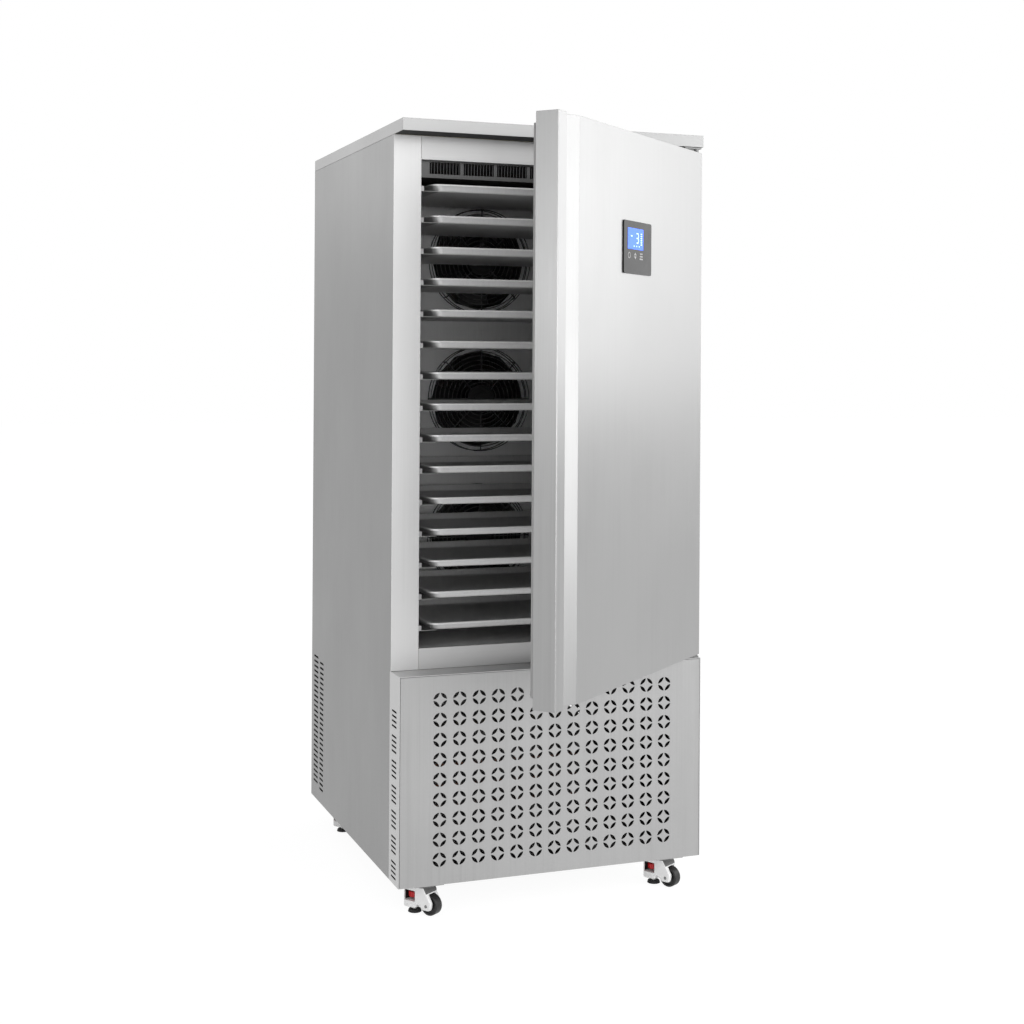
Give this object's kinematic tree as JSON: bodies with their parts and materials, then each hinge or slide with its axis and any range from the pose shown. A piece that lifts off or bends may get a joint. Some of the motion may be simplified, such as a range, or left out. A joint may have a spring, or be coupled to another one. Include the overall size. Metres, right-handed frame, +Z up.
{
  "type": "blast chiller",
  "caption": "Upright blast chiller on levelling castors: perforated machine bay below, insulated chamber with slide-in trays, fans behind them, door ajar with a full-height grip.",
  "frame": {"origin": "on the floor, under the middle of the footprint that the cabinet and its open door take together", "axes": "+Z up; -Y the way the grille and the chamber face; +X to the right of someone facing it, where the door is hinged"},
  "size_m": [0.8014, 1.4014, 1.918],
  "materials": {
    "side_steel": "satin",
    "lid_steel": "satin",
    "foam": "matte",
    "liner_steel": "satin",
    "frame_steel": "satin",
    "grille_steel": "satin",
    "hinge_steel": "satin",
    "fin_aluminium": "satin",
    "machine_black": "satin",
    "fan_plastic": "matte",
    "runner_steel": "satin",
    "tray_aluminium": "satin",
    "door_steel": "satin",
    "gasket_rubber": "matte",
    "panel_glass": "gloss",
    "castor_plastic": "satin",
    "wheel_plastic": "matte",
    "foot_plastic": "matte"
  },
  "bodies": {
    "cabinet": {"left_side_panel": "side_steel", "right_side_panel": "side_steel", "rear_panel": "side_steel", "top_lid": "lid_steel", "insulation_core": "foam", "inner_liner": "liner_steel", "left_stile": "frame_steel", "right_stile": "frame_steel", "header_rail": "frame_steel", "sill_rail": "frame_steel", "bay_surround": "frame_steel", "grille_panel": "grille_steel", "base_frame": "side_steel", "hinge_top": "hinge_steel", "hinge_bottom": "hinge_steel", "condenser": "fin_aluminium", "compressor": "machine_black", "evaporator_cover": "liner_steel", "evaporator_coil": "fin_aluminium", "ceiling_duct": "liner_steel", "fan_guard_1": "fan_plastic", "fan_guard_2": "fan_plastic", "fan_guard_3": "fan_plastic", "rack_left": "runner_steel", "rack_right": "runner_steel"},
    "door": {"door_skin": "door_steel", "door_liner": "liner_steel", "door_gasket": "gasket_rubber", "control_panel": "panel_glass"},
    "tray_01": {"tray_01": "tray_aluminium"},
    "tray_02": {"tray_02": "tray_aluminium"},
    "tray_03": {"tray_03": "tray_aluminium"},
    "tray_04": {"tray_04": "tray_aluminium"},
    "tray_05": {"tray_05": "tray_aluminium"},
    "tray_06": {"tray_06": "tray_aluminium"},
    "tray_07": {"tray_07": "tray_aluminium"},
    "tray_08": {"tray_08": "tray_aluminium"},
    "tray_09": {"tray_09": "tray_aluminium"},
    "tray_10": {"tray_10": "tray_aluminium"},
    "tray_11": {"tray_11": "tray_aluminium"},
    "tray_12": {"tray_12": "tray_aluminium"},
    "tray_13": {"tray_13": "tray_aluminium"},
    "tray_14": {"tray_14": "tray_aluminium"},
    "tray_15": {"tray_15": "tray_aluminium"},
    "evaporator_fan_1": {"fan_rotor_1": "fan_plastic"},
    "evaporator_fan_2": {"fan_rotor_2": "fan_plastic"},
    "evaporator_fan_3": {"fan_rotor_3": "fan_plastic"},
    "condenser_fan_rotor": {"condenser_fan": "fan_plastic"},
    "castor_front_left": {"castor_housing_front_left": "castor_plastic"},
    "wheel_front_left": {"castor_wheel_front_left": "wheel_plastic"},
    "foot_front_left": {"castor_foot_front_left": "foot_plastic"},
    "castor_front_right": {"castor_housing_front_right": "castor_plastic"},
    "wheel_front_right": {"castor_wheel_front_right": "wheel_plastic"},
    "foot_front_right": {"castor_foot_front_right": "foot_plastic"},
    "castor_rear_left": {"castor_housing_rear_left": "castor_plastic"},
    "wheel_rear_left": {"castor_wheel_rear_left": "wheel_plastic"},
    "foot_rear_left": {"castor_foot_rear_left": "foot_plastic"},
    "castor_rear_right": {"castor_housing_rear_right": "castor_plastic"},
    "wheel_rear_right": {"castor_wheel_rear_right": "wheel_plastic"},
    "foot_rear_right": {"castor_foot_rear_right": "foot_plastic"}
  },
  "joints": [
    {"name": "door_hinge", "type": "hinge", "parent": "cabinet", "child": "door", "pos_m": [0.38426, -0.18526, 1.2], "axis": [0, 0, 1], "range_deg": [-40.5, 69.5]},
    {"name": "tray_01_slide", "type": "slide", "parent": "cabinet", "child": "tray_01", "axis": [0, -1, 0], "range_m": [0, 0.06]},
    {"name": "tray_02_slide", "type": "slide", "parent": "cabinet", "child": "tray_02", "axis": [0, -1, 0], "range_m": [0, 0.06]},
    {"name": "tray_03_slide", "type": "slide", "parent": "cabinet", "child": "tray_03", "axis": [0, -1, 0], "range_m": [0, 0.06]},
    {"name": "tray_04_slide", "type": "slide", "parent": "cabinet", "child": "tray_04", "axis": [0, -1, 0], "range_m": [0, 0.06]},
    {"name": "tray_05_slide", "type": "slide", "parent": "cabinet", "child": "tray_05", "axis": [0, -1, 0], "range_m": [0, 0.06]},
    {"name": "tray_06_slide", "type": "slide", "parent": "cabinet", "child": "tray_06", "axis": [0, -1, 0], "range_m": [0, 0.06]},
    {"name": "tray_07_slide", "type": "slide", "parent": "cabinet", "child": "tray_07", "axis": [0, -1, 0], "range_m": [0, 0.06]},
    {"name": "tray_08_slide", "type": "slide", "parent": "cabinet", "child": "tray_08", "axis": [0, -1, 0], "range_m": [0, 0.06]},
    {"name": "tray_09_slide", "type": "slide", "parent": "cabinet", "child": "tray_09", "axis": [0, -1, 0], "range_m": [0, 0.06]},
    {"name": "tray_10_slide", "type": "slide", "parent": "cabinet", "child": "tray_10", "axis": [0, -1, 0], "range_m": [0, 0.06]},
    {"name": "tray_11_slide", "type": "slide", "parent": "cabinet", "child": "tray_11", "axis": [0, -1, 0], "range_m": [0, 0.06]},
    {"name": "tray_12_slide", "type": "slide", "parent": "cabinet", "child": "tray_12", "axis": [0, -1, 0], "range_m": [0, 0.06]},
    {"name": "tray_13_slide", "type": "slide", "parent": "cabinet", "child": "tray_13", "axis": [0, -1, 0], "range_m": [0, 0.06]},
    {"name": "tray_14_slide", "type": "slide", "parent": "cabinet", "child": "tray_14", "axis": [0, -1, 0], "range_m": [0, 0.06]},
    {"name": "tray_15_slide", "type": "slide", "parent": "cabinet", "child": "tray_15", "axis": [0, -1, 0], "range_m": [0, 0.06]},
    {"name": "evaporator_fan_1_spin", "type": "hinge", "parent": "cabinet", "child": "evaporator_fan_1", "pos_m": [-0.00075, 0.43672, 1.6185], "axis": [0, 1, 0], "continuous": true},
    {"name": "evaporator_fan_2_spin", "type": "hinge", "parent": "cabinet", "child": "evaporator_fan_2", "pos_m": [-0.00075, 0.43672, 1.2335], "axis": [0, 1, 0], "continuous": true},
    {"name": "evaporator_fan_3_spin", "type": "hinge", "parent": "cabinet", "child": "evaporator_fan_3", "pos_m": [-0.00075, 0.43672, 0.8485], "axis": [0, 1, 0], "continuous": true},
    {"name": "condenser_fan_spin", "type": "hinge", "parent": "cabinet", "child": "condenser_fan_rotor", "pos_m": [-0.11074, -0.05196, 0.262], "axis": [0, 1, 0], "continuous": true},
    {"name": "castor_front_left_swivel", "type": "hinge", "parent": "cabinet", "child": "castor_front_left", "pos_m": [-0.32075, -0.15126, 0], "axis": [0, 0, 1], "continuous": true},
    {"name": "wheel_front_left_spin", "type": "hinge", "parent": "castor_front_left", "child": "wheel_front_left", "pos_m": [-0.30927, -0.16765, 0.026], "axis": [0.8192, 0.5736, 0], "continuous": true},
    {"name": "foot_front_left_screw", "type": "slide", "parent": "castor_front_left", "child": "foot_front_left", "axis": [0, 0, 1], "range_m": [-0.006, 0.006]},
    {"name": "castor_front_right_swivel", "type": "hinge", "parent": "cabinet", "child": "castor_front_right", "pos_m": [0.31926, -0.15126, 0], "axis": [0, 0, 1], "continuous": true},
    {"name": "wheel_front_right_spin", "type": "hinge", "parent": "castor_front_right", "child": "wheel_front_right", "pos_m": [0.32926, -0.16858, 0.026], "axis": [0.866, 0.5, 0], "continuous": true},
    {"name": "foot_front_right_screw", "type": "slide", "parent": "castor_front_right", "child": "foot_front_right", "axis": [0, 0, 1], "range_m": [-0.006, 0.006]},
    {"name": "castor_rear_left_swivel", "type": "hinge", "parent": "cabinet", "child": "castor_rear_left", "pos_m": [-0.32075, 0.55074, 0], "axis": [0, 0, 1], "continuous": true},
    {"name": "wheel_rear_left_spin", "type": "hinge", "parent": "castor_rear_left", "child": "wheel_rear_left", "pos_m": [-0.30927, 0.53435, 0.026], "axis": [0.8192, 0.5736, 0], "continuous": true},
    {"name": "foot_rear_left_screw", "type": "slide", "parent": "castor_rear_left", "child": "foot_rear_left", "axis": [0, 0, 1], "range_m": [-0.006, 0.006]},
    {"name": "castor_rear_right_swivel", "type": "hinge", "parent": "cabinet", "child": "castor_rear_right", "pos_m": [0.31926, 0.55074, 0], "axis": [0, 0, 1], "continuous": true},
    {"name": "wheel_rear_right_spin", "type": "hinge", "parent": "castor_rear_right", "child": "wheel_rear_right", "pos_m": [0.32985, 0.53377, 0.026], "axis": [0.848, 0.5299, 0], "continuous": true},
    {"name": "foot_rear_right_screw", "type": "slide", "parent": "castor_rear_right", "child": "foot_rear_right", "axis": [0, 0, 1], "range_m": [-0.006, 0.006]}
  ]
}
